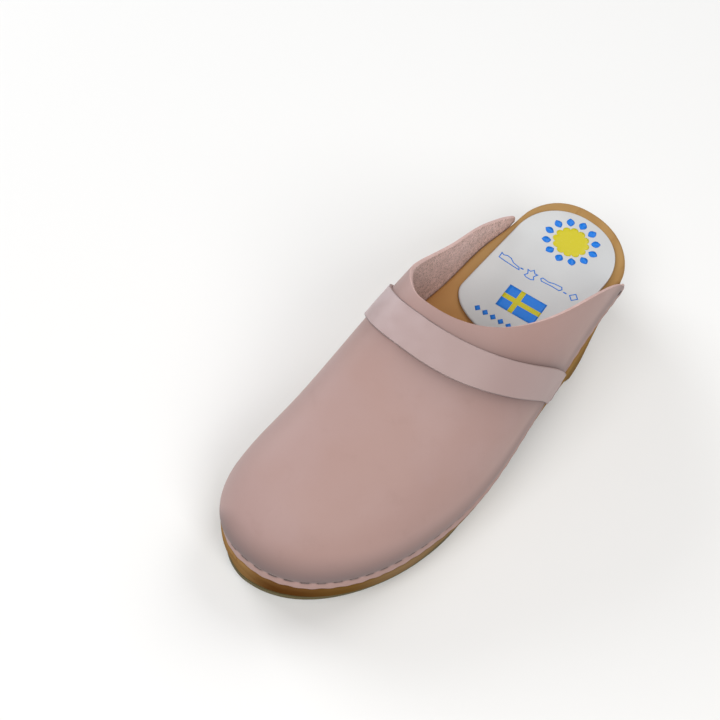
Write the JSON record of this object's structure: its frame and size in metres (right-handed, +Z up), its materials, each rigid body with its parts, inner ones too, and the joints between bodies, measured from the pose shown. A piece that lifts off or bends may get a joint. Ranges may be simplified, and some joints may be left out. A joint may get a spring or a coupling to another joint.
{
  "type": "leather clog",
  "caption": "Backless clog for the left foot: a leather upper stapled round a one-piece wooden sole with a block heel, a strap over the instep, rubber treads and a thin pad on the heel seat.",
  "frame": {"origin": "on the floor, under the middle of the clog's box", "axes": "+Z up, +Y from the toe towards the heel, +X towards the outer side of the left foot"},
  "size_m": [0.0928, 0.2584, 0.0975],
  "materials": {
    "wood": "honey-coloured varnish, satin",
    "rubber": "matt, greyish beige",
    "upper_leather": "smooth dusty pink grain outside, suede inside",
    "strap_leather": "smooth pale dusty pink grain",
    "pad": "smooth coated white, satin"
  },
  "bodies": {
    "root": {"wooden_sole": "wood", "forepart_tread": "rubber", "heel_tread": "rubber", "upper": "upper_leather", "strap": "strap_leather", "heel_pad": "pad"}
  },
  "joints": []
}
